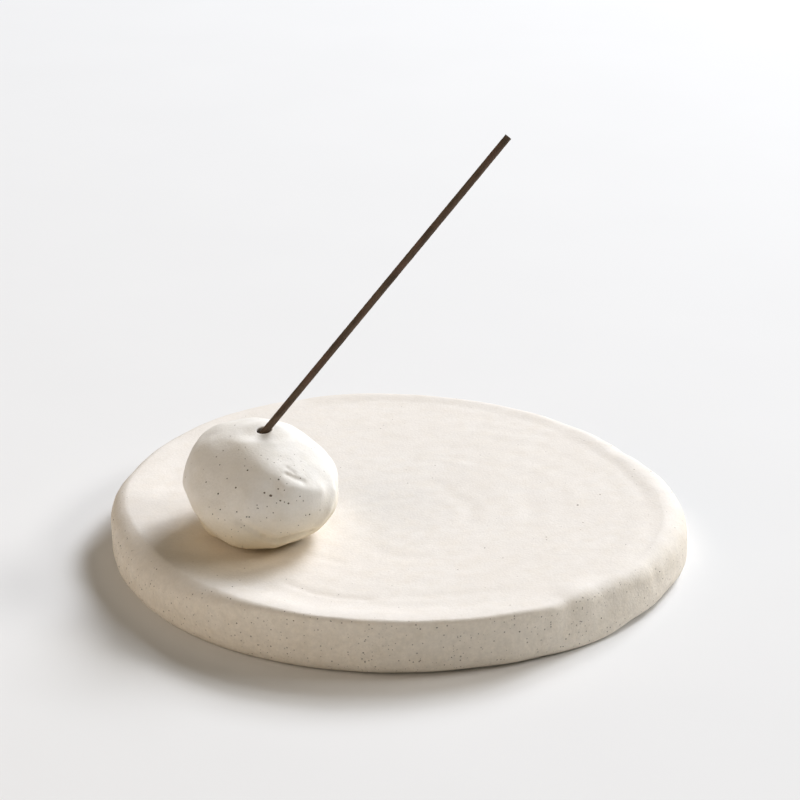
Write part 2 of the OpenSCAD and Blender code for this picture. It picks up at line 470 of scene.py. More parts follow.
def stone_points(way):
    """Points of the ball in mm, in each direction."""
    return stone_place + stone_scale * way * stone_radius(way)[..., None]


def to_stone(points):
    """Direction on the ball of each point in mm."""
    way = (points - stone_place) / stone_scale
    return way / np.linalg.norm(way, axis=-1, keepdims=True)


print("pebble", (pebble_high - pebble_low).round(1), "mm")

# %% The mouth of the hole
PEBBLE_TURNS = 340
MOUTH_ROLL = 0.45
HALVINGS = 40

aside = np.cross(hole_axis, (0, 0, 1))
aside /= np.linalg.norm(aside)
upward = np.cross(aside, hole_axis)
clock = np.linspace(0, 2 * np.pi, PEBBLE_TURNS, endpoint=False)
spoke = np.cos(clock)[:, None] * aside + np.sin(clock)[:, None] * upward


def above(offset):
    """Where lines beside the hole's axis, at that offset, come out of the ball."""
    start = hole_floor + spoke * offset
    low, high = np.zeros(PEBBLE_TURNS), np.full(PEBBLE_TURNS, 3 * HOLE_DEPTH)
    for _ in range(HALVINGS):
        middle = (low + high) / 2
        point = start + hole_axis * middle[:, None]
        inside = np.linalg.norm((point - stone_place) / stone_scale, axis=1) < stone_radius(to_stone(point))
        low, high = np.where(inside, middle, low), np.where(inside, high, middle)
    return start + hole_axis * low[:, None]


mouth_r = hole_r + MOUTH_ROLL
mouth_edge = above(mouth_r)
print("mouth", round(2 * mouth_r, 2), "mm across, at", mouth_edge.mean(axis=0).round(1), "mm")

# %% Rings of the pebble
FLOOR_SHARES = (0.5, 0.97)
BORE_CORNER = 0.1
BORE_RINGS = 26
ROLL_RINGS = 9
MOUTH_INSETS = (0.25, 0.55, 0.9, 1.3, 1.8, 2.4, 3.0)
BALL_RINGS = 190

rolled = [mouth_edge - MOUTH_ROLL * (math.sin(t) * spoke + (1 - math.cos(t)) * hole_axis)
          for t in np.radians(np.linspace(90, 0, ROLL_RINGS))]
bore = [hole_floor + spoke * hole_r * s for s in FLOOR_SHARES]
bore_low = hole_floor + spoke * hole_r + hole_axis * BORE_CORNER
bore += [bore_low + (rolled[0] - bore_low) * t for t in np.linspace(0, 1, BORE_RINGS)[:-1]]
around_mouth = [above(mouth_r + d) for d in MOUTH_INSETS]
start_way = to_stone(around_mouth[-1])
end_way = -to_stone(above(0.0).mean(axis=0))
angle = np.arccos(np.clip(start_way @ end_way, -1, 1))[:, None]
down = []
for t in np.linspace(0, 1, BALL_RINGS)[1:-1]:
    way = (np.sin((1 - t) * angle) * start_way + np.sin(t * angle) * end_way) / np.sin(angle)
    down.append(stone_points(way))
pebble_grid = np.array(bore + rolled + around_mouth + down)
in_bore = len(bore) * PEBBLE_TURNS
in_mouth = (len(bore) + len(rolled)) * PEBBLE_TURNS
print("pebble rings", len(pebble_grid))

# %% Where the thumbs and fingers pressed
# In mm and degrees: a flat is (heading, rise, depth, softness), and a mark is
# (path of headings and rises, height, half width)
THUMB_FLATS = [
    (-126, 25, 1.0, 0.9), (-43, 56, 0.5, 0.6), (-8, 4, 0.5, 0.4), (-92, -3, 0.6, 0.7), (165, 15, 0.5, 0.5),
    (100, 22, 0.8, 0.4), (55, -8, 0.8, 0.4), (140, -18, 0.6, 0.4), (25, 38, 0.5, 0.5), (-164, -24, 1.35, 0.9),
]
PEBBLE_MARKS = [
    ([(-62, 38), (-57, 33), (-51, 28)], -0.6, 0.9),
    ([(-59, 44), (-55, 38)], -0.3, 0.8),
    ([(-67, 27), (-59, 25), (-49, 20), (-39, 16)], 0.8, 2.2),
    ([(-23, 4), (-29, -3), (-33, -12), (-38, -20)], 0.7, 1.8),
    ([(-103, -7), (-97, -12), (-90, -19), (-85, -26)], -0.5, 1.1),
    ([(-85, -26), (-72, -31), (-62, -28), (-50, -26), (-43, -27)], -0.7, 0.9),
    ([(-80, -33), (-67, -36), (-55, -33)], 0.6, 1.6),
    ([(-112, -41), (-95, -45), (-78, -44)], 1.3, 4.0),
    ([(-145, -62), (-115, -63), (-85, -63), (-60, -61)], -1.7, 3.2),
    ([(-162, -40), (-150, -45)], 1.2, 3.4),
    ([(-46, -4), (-34, -7), (-22, -9)], 0.9, 7.0),
    ([(-127, 67), (-101, 60), (-90, 50), (-78, 42)], 0.45, 4.4),
    ([(-128, 55), (-107, 47), (-93, 38), (-84, 30)], -0.55, 4.8),
    ([(-76, 30), (-73, 25)], -0.6, 2.2),
    ([(-65, 9), (-56, 3)], -0.5, 3.0),
    ([(-148, -11), (-144, -15)], 0.4, 2.5),
]
print(len(THUMB_FLATS), "flats and", len(PEBBLE_MARKS), "marks on the pebble")

# %% Pressing the pebble
BALL_WAVE = 0.34
BALL_LUMPS = 0.20
SKIN_FULL = 3

stone_flat = pebble_grid.reshape(-1, 3)
marks = [([stone_points(heading_and_rise(*p)) for p in path], top, width)
         for path, top, width in PEBBLE_MARKS]
height = pressed(stone_flat, marks)
height += (BALL_WAVE * unevenness(stone_flat, lump=10, seed=11)
           + BALL_LUMPS * unevenness(stone_flat, lump=4.5, seed=12))
from_floor = stone_flat - hole_floor
up_hole = np.maximum(from_floor @ hole_axis, 0)
off_axis = np.linalg.norm(from_floor - np.outer(up_hole, hole_axis), axis=1)
skin = fade(off_axis, mouth_r, mouth_r + SKIN_FULL)
skin[:in_mouth] = 0
outer = to_stone(stone_flat) * stone_scale
outer /= np.linalg.norm(outer, axis=1, keepdims=True)
moved = outer * height[:, None]
for at, up, deep, soft in THUMB_FLATS:
    middle = stone_points(heading_and_rise(at, up))
    facing = heading_and_rise(at, up) / stone_scale
    facing /= np.linalg.norm(facing)
    proud = (stone_flat - middle) @ facing + deep
    moved -= np.outer(soft * np.logaddexp(0, proud / soft), facing)
stone_flat = stone_flat + moved * skin[:, None]
print("pebble relief", round(height.min(), 2), "to", round(height.max(), 2), "mm")

# %% Tipping the mouth and flattening the foot
MOUTH_LEAN = math.radians(14)
LEAN_FULL, LEAN_ENDS = 0.5, 6
PRESS_SOFT = 0.45

to_front = mouth_edge.mean(axis=0)[1] - stone_flat[:, 1]
near_mouth = 1 - fade(off_axis, mouth_r + LEAN_FULL, mouth_r + LEAN_ENDS)
near_mouth[:in_bore] = 0
stone_flat = stone_flat - np.outer(math.tan(MOUTH_LEAN) * to_front * near_mouth, hole_axis)


def press_flat(z):
    """The ball's underside, pressed flat on the plate with a soft edge."""
    return pebble_low[2] + PRESS_SOFT * np.logaddexp(0, (z - pebble_low[2]) / PRESS_SOFT)


stone_flat[:, 2] = press_flat(stone_flat[:, 2])
last = stone_points(end_way)
last[2] = press_flat(last[2])
print("pebble foot at", round(stone_flat[:, 2].min(), 2), "mm")

# %% The pebble itself
SPECKS_FROM, SPECKS_FULL = 0.5, 3
# Painted warm bounce light: the pebble is tinted warmer and darker towards its foot, up to this height
BOUNCE_TINT_FULL, BOUNCE_TINT_ENDS = 1, 19

off_foot = fade(stone_flat[:, 2], pebble_low[2] + SPECKS_FROM, pebble_low[2] + SPECKS_FULL)
# Painted shade: the bore and the roll of its mouth get a dark tint
in_hole = 1 - fade(off_axis, hole_r, mouth_r)
in_hole[in_mouth:] = 0
painted_bounce = 1 - fade(stone_flat[:, 2], pebble_low[2] + BOUNCE_TINT_FULL, pebble_low[2] + BOUNCE_TINT_ENDS)
pebble = clay_piece("clay_pebble", stone_flat.reshape(pebble_grid.shape), hole_floor, last,
                    side=in_hole, toasted=painted_bounce, speckled=skin * off_foot)

# %% [markdown]
# ## Finishes
# The clay is an off-white stoneware with no glaze: cloudy, dull and a little sandy, with
# dust-fine iron dots. Plate and pebble share these effects, so each effect is a small node
# group, and each clay has its own values. Both clays also carry painted light: a painted warm
# shadow on the plate in front of the pebble, painted warm bounce light towards the pebble's
# foot, and a painted shade tint on the plate's wall and in the pebble's bore. An attribute of
# each mesh says how much. All patterns read Object coordinates, which stay with the piece
# when it moves.

# %% Helpers for nodes
# Numbers of the Mix node's sockets that share a name
VALUE_A, VALUE_B = 2, 3
COLOUR_A, COLOUR_B, COLOUR_OUT = 6, 7, 2


def add(tree, kind, inputs=None, **settings):
    """A node of that kind. An input is a plain value or another node's output."""
    made = tree.nodes.new(kind)
    for name, value in settings.items():
        setattr(made, name, value)
    for name, value in (inputs or {}).items():
        if isinstance(value, bpy.types.NodeSocket):
            tree.links.new(value, made.inputs[name])
        else:
            made.inputs[name].default_value = value
    return made


def shader_group(name, inputs, output):
    """An empty shader group with named inputs and one output."""
    group = bpy.data.node_groups.new(name, "ShaderNodeTree")
    for title, kind in inputs:
        group.interface.new_socket(name=title, in_out="INPUT", socket_type="NodeSocket" + kind)
    group.interface.new_socket(name=output[0], in_out="OUTPUT", socket_type="NodeSocket" + output[1])
    given = group.nodes.new("NodeGroupInput").outputs
    return group, given, group.nodes.new("NodeGroupOutput").inputs[output[0]]


def use(tree, group, **values):
    """A placed group, with its values by input name."""
    named = {title.replace("_", " "): value for title, value in values.items()}
    return add(tree, "ShaderNodeGroup", named, node_tree=group).outputs[0]


# %% Helpers for values
def maths(tree, operation, a, b=0.0):
    """The result of one sum on two values."""
    return add(tree, "ShaderNodeMath", {0: a, 1: b}, operation=operation).outputs["Value"]


def between(tree, value, low, high):
    """A value from 0 to 1, spread from low to high."""
    return add(tree, "ShaderNodeMapRange", {"Value": value, "To Min": low, "To Max": high}).outputs[0]


# %% Helpers for colours and clouds
def blend_colour(tree, share, first, second, blend="MIX"):
    """The first colour with the second over it. Each is a plain colour or a node's output."""
    pair = [c if isinstance(c, bpy.types.NodeSocket) else (*c, 1) for c in (first, second)]
    inputs = {"Factor": share, COLOUR_A: pair[0], COLOUR_B: pair[1]}
    return add(tree, "ShaderNodeMix", inputs, data_type="RGBA", blend_type=blend).outputs[COLOUR_OUT]


def shade(tree, colour, value):
    """A colour times a value."""
    return add(tree, "ShaderNodeVectorMath", {0: colour, 1: value}, operation="MULTIPLY").outputs["Vector"]


def clouds(tree, position, size, low, high, detail=2.0):
    """Soft noise with clouds of that size in metres, spread so that low gives 0 and high 1."""
    scale = maths(tree, "DIVIDE", 1.0, size)
    made = add(tree, "ShaderNodeTexNoise", {"Vector": position, "Scale": scale, "Detail": detail})
    limits = {"Value": made.outputs["Fac"], "From Min": low, "From Max": high}
    return add(tree, "ShaderNodeMapRange", limits).outputs[0]


# %% Clouds of colour, a shared effect
CLOSE_CLOUDS = 4.0

clay_clouds, given, result = shader_group("clay_clouds", [
    ("Position", "Vector"), ("Body", "Color"), ("Pale", "Color"), ("Warm", "Color"), ("Cloud Size", "Float")],
    ("Colour", "Color"))
wide = clouds(clay_clouds, given["Position"], given["Cloud Size"], low=0.35, high=0.65)
close_size = maths(clay_clouds, "DIVIDE", given["Cloud Size"], CLOSE_CLOUDS)
close = clouds(clay_clouds, given["Position"], close_size, low=0.42, high=0.75)
pale = blend_colour(clay_clouds, wide, given["Body"], given["Pale"])
clay_clouds.links.new(blend_colour(clay_clouds, close, pale, given["Warm"]), result)
print("shared effect", clay_clouds.name)

# %% Iron dust, a shared effect
DOT_CORE = 0.5

iron_dust, given, result = shader_group("iron_dust", [
    ("Position", "Vector"), ("Spacing", "Float"), ("Dot Size", "Float"), ("Share", "Float")],
    ("Dots", "Float"))
cells = add(iron_dust, "ShaderNodeTexVoronoi", {
    "Vector": given["Position"], "Scale": maths(iron_dust, "DIVIDE", 1.0, given["Spacing"])})
chance = add(iron_dust, "ShaderNodeSeparateColor", {"Color": cells.outputs["Color"]})
away = maths(iron_dust, "MULTIPLY", cells.outputs["Distance"], given["Spacing"])
reach = maths(iron_dust, "MULTIPLY", given["Dot Size"], chance.outputs["Green"])
inside = add(iron_dust, "ShaderNodeMapRange", {
    "Value": away, "From Min": maths(iron_dust, "MULTIPLY", reach, DOT_CORE), "From Max": reach,
    "To Min": 1.0, "To Max": 0.0})
chosen = maths(iron_dust, "LESS_THAN", chance.outputs["Red"], given["Share"])
iron_dust.links.new(maths(iron_dust, "MULTIPLY", inside.outputs[0], chosen), result)
print("shared effect", iron_dust.name)

# %% Sandy skin, a shared effect
COARSE_GRAINS = 5.0
FINE_SHARE, COARSE_SHARE = 0.6, 0.4

sandy_skin, given, result = shader_group("sandy_skin", [
    ("Position", "Vector"), ("Grain Size", "Float")], ("Height", "Float"))
fine = clouds(sandy_skin, given["Position"], given["Grain Size"], low=0.3, high=0.7, detail=3.0)
coarse_size = maths(sandy_skin, "MULTIPLY", given["Grain Size"], COARSE_GRAINS)
coarse = clouds(sandy_skin, given["Position"], coarse_size, low=0.3, high=0.7)
sandy_skin.links.new(maths(sandy_skin, "ADD", maths(sandy_skin, "MULTIPLY", fine, FINE_SHARE),
                           maths(sandy_skin, "MULTIPLY", coarse, COARSE_SHARE)), result)
print("shared effect", sandy_skin.name)

# %% How bare stoneware is put together
IRON = (0.16, 0.12, 0.085)
# Tint of the painted warm shadow on the plate and of the painted warm bounce light on the pebble
WARM_SHADE_TINT = (0.90, 0.80, 0.61)
CLOUD_SIZE = 18 * MM
DUST_SPACING, DUST_DOT, DUST_DARK = 0.9 * MM, 0.3 * MM, 0.75
GRAIN_SIZE, GRAIN_HEIGHT = 0.7 * MM, 0.08 * MM
MOTTLE_SIZE = 1.5 * MM
TOP_GRAIN = 0.6


def new_finish(name):
    """A new material with its tree, its shader and the Object coordinates."""
    finish = bpy.data.materials.new(name)
    finish.use_nodes = True
    tree = finish.node_tree
    place = add(tree, "ShaderNodeTexCoord").outputs["Object"]
    return finish, tree, tree.nodes["Principled BSDF"].inputs, place


def stoneware(name, body, pale, warm, side, dust_top, dust_side):
    """Bare stoneware: clouds of colour, iron dust and a sandy skin, and painted light. The side tint is
    painted shade on the plate's wall or in the pebble's bore, and the warm tint is painted warm shadow and
    bounce light near the pebble.
    """
    finish, tree, shader, place = new_finish(name)
    on_wall = add(tree, "ShaderNodeAttribute", attribute_name="side").outputs["Fac"]
    warm_shade_share = add(tree, "ShaderNodeAttribute", attribute_name="toasted").outputs["Fac"]
    colour = use(tree, clay_clouds, Position=place, Body=(*body, 1), Pale=(*pale, 1), Warm=(*warm, 1),
                 Cloud_Size=CLOUD_SIZE)
    # Painted shade: the side tint darkens and warms the plate's wall and the pebble's bore
    colour = blend_colour(tree, on_wall, colour, side, blend="MULTIPLY")
    # Painted warm shadow on the plate's top, and painted warm bounce light on the pebble's lower part
    colour = blend_colour(tree, warm_shade_share, colour, WARM_SHADE_TINT, blend="MULTIPLY")
    share = between(tree, on_wall, low=dust_top, high=dust_side)
    dots = use(tree, iron_dust, Position=place, Spacing=DUST_SPACING, Dot_Size=DUST_DOT, Share=share)
    skin = use(tree, sandy_skin, Position=place, Grain_Size=GRAIN_SIZE)
    sandy = between(tree, skin, low=0.95, high=1.04)
    patchy = clouds(tree, place, MOTTLE_SIZE, low=0.3, high=0.7, detail=3.0)
    mottle = between(tree, patchy, low=0.93, high=1.04)
    mottle = add(tree, "ShaderNodeMix", {"Factor": on_wall, VALUE_A: 1.0, VALUE_B: mottle}).outputs[0]
    colour = shade(tree, colour, maths(tree, "MULTIPLY", sandy, mottle))
    colour = blend_colour(tree, maths(tree, "MULTIPLY", dots, DUST_DARK), colour, IRON)
    tree.links.new(colour, shader["Base Color"])
    tree.links.new(between(tree, skin, low=0.92, high=0.72), shader["Roughness"])
    relief = maths(tree, "MULTIPLY", skin, between(tree, on_wall, low=TOP_GRAIN, high=1.0))
    bump = add(tree, "ShaderNodeBump", {"Height": relief, "Strength": 1.0, "Distance": GRAIN_HEIGHT})
    tree.links.new(bump.outputs["Normal"], shader["Normal"])
    return finish


# %% Stoneware of the plate and of the pebble
# The side tints are painted shade: a darker, warmer wall for the plate and a dark bore for the pebble
plate_stoneware = stoneware(
    "plate_stoneware", body=(0.84, 0.795, 0.74), pale=(0.855, 0.815, 0.765), warm=(0.83, 0.78, 0.715),
    side=(0.965, 0.93, 0.86), dust_top=0.02, dust_side=0.45)
pebble_stoneware = stoneware(
    "pebble_stoneware", body=(0.87, 0.84, 0.79), pale=(0.885, 0.86, 0.815), warm=(0.85, 0.815, 0.75),
    side=(0.7, 0.66, 0.6), dust_top=0.12, dust_side=0.0)
plate.data.materials.append(plate_stoneware)
pebble.data.materials.append(pebble_stoneware)
print("stoneware on", plate.name, "and", pebble.name)

# %% Iron
FLECK_DARK, FLECK_RUST = (0.03, 0.024, 0.018), (0.19, 0.145, 0.10)
FLECK_CLOUDS = 1.5 * MM

iron_fleck, tree, shader, place = new_finish("iron_fleck")
rusty = clouds(tree, place, FLECK_CLOUDS, low=0.35, high=0.65)
tree.links.new(blend_colour(tree, rusty, FLECK_DARK, FLECK_RUST), shader["Base Color"])
shader["Roughness"].default_value = 0.6
print("finish", iron_fleck.name)

# %% Incense
INCENSE_DARK, INCENSE_BROWN = (0.070, 0.046, 0.027), (0.125, 0.084, 0.053)
INCENSE_RUDDY, RUDDY_SHARE = (0.155, 0.080, 0.055), 0.6
STREAK_SIZE, STREAK_PULL = 0.8 * MM, 0.12
RUDDY_SIZE = 7 * MM
PASTE_GRAIN, PASTE_HEIGHT = 0.35 * MM, 0.05 * MM

dry_incense, tree, shader, place = new_finish("dry_incense")
along = Vector(stick_axis).to_track_quat("Z", "Y").to_euler()
turned = add(tree, "ShaderNodeMapping", {"Vector": place, "Rotation": along}, vector_type="TEXTURE")
stretched = add(tree, "ShaderNodeMapping", {
    "Vector": turned.outputs["Vector"], "Scale": (1.0, 1.0, STREAK_PULL)})
streaks = clouds(tree, stretched.outputs["Vector"], STREAK_SIZE, low=0.35, high=0.65, detail=3.0)
ruddy = maths(tree, "MULTIPLY", clouds(tree, place, RUDDY_SIZE, low=0.4, high=0.7), RUDDY_SHARE)
grains = use(tree, sandy_skin, Position=place, Grain_Size=PASTE_GRAIN)
brown = blend_colour(tree, streaks, INCENSE_DARK, INCENSE_BROWN)
brown = blend_colour(tree, ruddy, brown, INCENSE_RUDDY)
tree.links.new(shade(tree, brown, between(tree, grains, low=0.75, high=1.3)), shader["Base Color"])
shader["Roughness"].default_value = 0.85
bump = add(tree, "ShaderNodeBump", {"Height": grains, "Strength": 1.0, "Distance": PASTE_HEIGHT})
tree.links.new(bump.outputs["Normal"], shader["Normal"])
print("finishes", [m.name for m in bpy.data.materials])

# %% [markdown]
# ## Floor and light
# The real object stands on a plain pale surface in daylight, which comes from the back and
# the right. Its shadow has a soft edge, and the right side is lit as well as the back, so one
# lamp isn't enough: three wide lamps stand for the windows, and a weak warm one at the left
# front for the room. The floor is plain, so it keeps the shadow.

# %% Floor
FLOOR_HALF = 4.0
FLOOR_TONES = (0.81, 0.813, 0.815), (0.82, 0.823, 0.825)
WASH_SIZE = 60 * MM

floor_mesh = bpy.data.meshes.new("studio_floor")
corners = [(x * FLOOR_HALF, y * FLOOR_HALF, 0) for x, y in ((-1, -1), (1, -1), (1, 1), (-1, 1))]
floor_mesh.from_pydata(corners, [], [(0, 1, 2, 3)])
studio_floor = bpy.data.objects.new("studio_floor", floor_mesh)
scene.collection.objects.link(studio_floor)
pale_floor, tree, shader, place = new_finish("pale_floor")
washed = clouds(tree, place, WASH_SIZE, low=0.3, high=0.7)
tree.links.new(blend_colour(tree, washed, *FLOOR_TONES), shader["Base Color"])
shader["Roughness"].default_value = 0.9
floor_mesh.materials.append(pale_floor)
print("floor", 2 * FLOOR_HALF, "m wide")

# %% Lamps
def lamp(name, heading, rise, width, tall, watts, colour, distance=4.0):
    """An area lamp that looks at the plate from a heading and a rise in degrees."""
    data = bpy.data.lights.new(name, "AREA")
    data.shape = "RECTANGLE"
    data.size, data.size_y = width, tall
    data.energy = watts
    data.color = colour
    made = bpy.data.objects.new(name, data)
    toward = Vector(heading_and_rise(heading, rise))
    made.location = toward * distance
    made.rotation_euler = toward.to_track_quat("Z", "Y").to_euler()
    made.visible_camera = False
    scene.collection.objects.link(made)
    print(name, "at", [round(v, 2) for v in made.location], "m")


lamp("back_window", heading=57, rise=35, width=1.6, tall=1.2, watts=115, colour=(0.98, 1.0, 1.06))
lamp("high_window", heading=42, rise=44, width=1.1, tall=1.3, watts=64, colour=(0.97, 1.0, 1.04))
lamp("side_window", heading=7, rise=32, width=1.7, tall=0.9, watts=54, colour=(1.03, 1.0, 0.97))
lamp("room_light", heading=-150, rise=30, width=1.6, tall=0.9, watts=8.6, colour=(1.0, 0.85, 0.70),
     distance=1.5)

# %% The room around
ROOM_GLOW = (0.045, 0.045, 0.036)
BACKDROP = (0.86, 0.86, 0.86)

world = bpy.data.worlds.new("pale_room")
world.use_nodes = True
scene.world = world
background = world.node_tree.nodes["Background"]
seen = add(world.node_tree, "ShaderNodeLightPath").outputs["Is Camera Ray"]
room = blend_colour(world.node_tree, seen, ROOM_GLOW, BACKDROP)
world.node_tree.links.new(room, background.inputs["Color"])
print("room glow", ROOM_GLOW)

# %% [markdown]
# ## The incense stick
# The real stick is incense paste, pressed through a round die and dried, so it is straight
# but never quite true, with a grainy skin and square cut ends. It follows one path, which is
# what Geometry Nodes do best: a line is resampled, a circle is swept along it, and noise
# pushes the skin in and out. The line comes from the stick's own solid.

# %% Building and running a Geometry Nodes tree
def new_tree(name, sockets):
    """An empty Geometry Nodes tree with named inputs: (tree, socket keys, inputs, result)."""
    tree = bpy.data.node_groups.new(name, "GeometryNodeTree")
    tree.interface.new_socket(name="Geometry", in_out="OUTPUT", socket_type="NodeSocketGeometry")
    tree.interface.new_socket(name="Geometry", in_out="INPUT", socket_type="NodeSocketGeometry")
    keys = {}
    for title, kind in sockets:
        socket = tree.interface.new_socket(name=title, in_out="INPUT", socket_type=kind)
        keys[title] = socket.identifier
    given = tree.nodes.new("NodeGroupInput").outputs
    return tree, keys, given, tree.nodes.new("NodeGroupOutput").inputs["Geometry"]


def finish_tree(tree, geometry, material, result):
    """Realize Instances, smooth shading and the finish, as the last nodes of a tree."""
    real = add(tree, "GeometryNodeRealizeInstances", {"Geometry": geometry})
    smooth = add(tree, "GeometryNodeSetShadeSmooth", {"Geometry": real.outputs["Geometry"]})
    dressed = add(tree, "GeometryNodeSetMaterial", {
        "Geometry": smooth.outputs["Geometry"], "Material": material})
    tree.links.new(dressed.outputs["Geometry"], result)


def grow(name, tree, keys, values, start):
    """Run a tree on a starting mesh, and keep what it makes as a plain mesh piece."""
    piece = bpy.data.objects.new(name, start)
    scene.collection.objects.link(piece)
    modifier = piece.modifiers.new(name, "NODES")
    modifier.node_group = tree
    for title, value in values.items():
        modifier[keys[title]] = value
    graph = bpy.context.evaluated_depsgraph_get()
    grown = bpy.data.meshes.new_from_object(piece.evaluated_get(graph), depsgraph=graph)
    piece.modifiers.remove(modifier)
    piece.data = grown
    grown.calc_loop_triangles()
    print(name, len(grown.loop_triangles), "triangles")
    return piece


# %% The tree that presses out a rod
ROD_SIDES = 28

rod_tree, rod_keys, given, result = new_tree("pressed_rod", [
    ("Foot", "NodeSocketVector"), ("Tip", "NodeSocketVector"), ("Radius", "NodeSocketFloat"),
    ("Grain Height", "NodeSocketFloat"), ("Grain Size", "NodeSocketFloat"), ("Rings", "NodeSocketInt"),
    ("Finish", "NodeSocketMaterial")])
line = add(rod_tree, "GeometryNodeCurvePrimitiveLine", {"Start": given["Foot"], "End": given["Tip"]})
path = add(rod_tree, "GeometryNodeResampleCurve", {"Curve": line.outputs["Curve"], "Count": given["Rings"]})
die = add(rod_tree, "GeometryNodeCurvePrimitiveCircle", {"Resolution": ROD_SIDES, "Radius": given["Radius"]})
rod = add(rod_tree, "GeometryNodeCurveToMesh", {
    "Curve": path.outputs["Curve"], "Profile Curve": die.outputs["Curve"], "Fill Caps": True})
fineness = maths(rod_tree, "DIVIDE", 1.0, given["Grain Size"])
where = add(rod_tree, "GeometryNodeInputPosition")
grain = add(rod_tree, "ShaderNodeTexNoise", {
    "Vector": where.outputs["Position"], "Scale": fineness, "Detail": 3.0})
push = add(rod_tree, "ShaderNodeMapRange", {
    "Value": grain.outputs["Fac"], "From Min": 0.2, "From Max": 0.8, "To Min": 0.0,
    "To Max": given["Grain Height"]})
shrink = maths(rod_tree, "MULTIPLY", push.outputs["Result"], -1.0)
normal = add(rod_tree, "GeometryNodeInputNormal")
offset = add(rod_tree, "ShaderNodeVectorMath", {
    "Vector": normal.outputs["Normal"], "Scale": shrink}, operation="SCALE")
rough = add(rod_tree, "GeometryNodeSetPosition", {
    "Geometry": rod.outputs["Mesh"], "Offset": offset.outputs["Vector"]})
finish_tree(rod_tree, rough.outputs["Geometry"], given["Finish"], result)
print("tree", rod_tree.name, "with inputs", list(rod_keys))

# %% The stick itself
STICK_GRAIN_HEIGHT = 0.06
STICK_GRAIN_SIZE = 1.1
STICK_RINGS = 420
STICK_SHARP = math.radians(50)

stick_tip = stick_foot + stick_axis * stick_len
stick = grow("incense_rod", rod_tree, rod_keys, {
    "Foot": Vector(stick_foot * MM), "Tip": Vector(stick_tip * MM), "Radius": stick_r * MM,
    "Grain Height": STICK_GRAIN_HEIGHT * MM, "Grain Size": STICK_GRAIN_SIZE * MM, "Rings": STICK_RINGS,
    "Finish": dry_incense}, bpy.data.meshes.new("incense_rod"))
stick.data.set_sharp_from_angle(angle=STICK_SHARP)

# %% [markdown]
# ## Iron specks
# Speckled stoneware gets its dark dots from grains of iron in the clay, which melt a little
# and stand on the skin. A shader can paint the finest ones, but the larger ones catch the
# light, so they are small domes. Geometry Nodes scatter them over the clay, thickly on the
# plate's wall and thinly on its top, and seat the few that stand out in the photograph.

# %% The tree that scatters specks
# Numbers of the Random Value node's sockets that share a name
RANDOM_MIN, RANDOM_MAX, RANDOM_SEED, RANDOM_OUT = 2, 3, 8, 1
SMALL_POWER = 3.0

speck_tree, speck_keys, given, result = new_tree("iron_specks", [
    ("Specks per Square Metre", "NodeSocketFloat"), ("Smallest", "NodeSocketFloat"),
    ("Largest", "NodeSocketFloat"), ("Seed", "NodeSocketInt"), ("Noted Specks", "NodeSocketObject"),
    ("Finish", "NodeSocketMaterial")])
thickness = add(speck_tree, "GeometryNodeInputNamedAttribute", {"Name": "speckled"}, data_type="FLOAT")
density = maths(speck_tree, "MULTIPLY", given["Specks per Square Metre"], thickness.outputs["Attribute"])
spread = add(speck_tree, "GeometryNodeDistributePointsOnFaces", {
    "Mesh": given["Geometry"], "Density": density, "Seed": given["Seed"]})
chance = add(speck_tree, "FunctionNodeRandomValue", {
    RANDOM_MIN: 0.0, RANDOM_MAX: 1.0, RANDOM_SEED: given["Seed"]}, data_type="FLOAT")
mostly_small = maths(speck_tree, "POWER", chance.outputs[RANDOM_OUT], SMALL_POWER)
width = between(speck_tree, mostly_small, low=given["Smallest"], high=given["Largest"])
print("tree", speck_tree.name, "with inputs", list(speck_keys))

# %% The domes of the specks
SPECK_SIDES = 8
SPECK_SHAPE = (1.0, 0.8, 0.3)

dome = add(speck_tree, "GeometryNodeMeshUVSphere", {
    "Segments": SPECK_SIDES, "Rings": SPECK_SIDES // 2, "Radius": 0.5})
low_dome = add(speck_tree, "GeometryNodeTransform", {"Geometry": dome.outputs["Mesh"], "Scale": SPECK_SHAPE})
scattered = add(speck_tree, "GeometryNodeInstanceOnPoints", {
    "Points": spread.outputs["Points"], "Instance": low_dome.outputs["Geometry"],
    "Rotation": spread.outputs["Rotation"], "Scale": width})
print("domes with", SPECK_SIDES, "sides")

# %% Seating the noted specks
noted = add(speck_tree, "GeometryNodeObjectInfo", {"Object": given["Noted Specks"]})
noted_points = add(speck_tree, "GeometryNodeMeshToPoints", {"Mesh": noted.outputs["Geometry"]})
nearest = add(speck_tree, "GeometryNodeProximity", {0: given["Geometry"]}, target_element="FACES")
seated = add(speck_tree, "GeometryNodeSetPosition", {
    "Geometry": noted_points.outputs["Points"], "Position": nearest.outputs["Position"]})
clay_normal = add(speck_tree, "GeometryNodeSampleNearestSurface", {
    "Mesh": given["Geometry"], "Value": add(speck_tree, "GeometryNodeInputNormal").outputs["Normal"]},
    data_type="FLOAT_VECTOR")
lying = add(speck_tree, "FunctionNodeAlignRotationToVector", {
    "Vector": clay_normal.outputs["Value"]}, axis="Z")
noted_width = add(speck_tree, "GeometryNodeInputNamedAttribute", {"Name": "width"}, data_type="FLOAT")
placed = add(speck_tree, "GeometryNodeInstanceOnPoints", {
    "Points": seated.outputs["Geometry"], "Instance": low_dome.outputs["Geometry"],
    "Rotation": lying.outputs["Rotation"], "Scale": noted_width.outputs["Attribute"]})
every_speck = add(speck_tree, "GeometryNodeJoinGeometry")
for source in (scattered, placed):
    speck_tree.links.new(source.outputs["Instances"], every_speck.inputs["Geometry"])
finish_tree(speck_tree, every_speck.outputs["Geometry"], given["Finish"], result)
print(len(speck_tree.nodes), "nodes in", speck_tree.name)

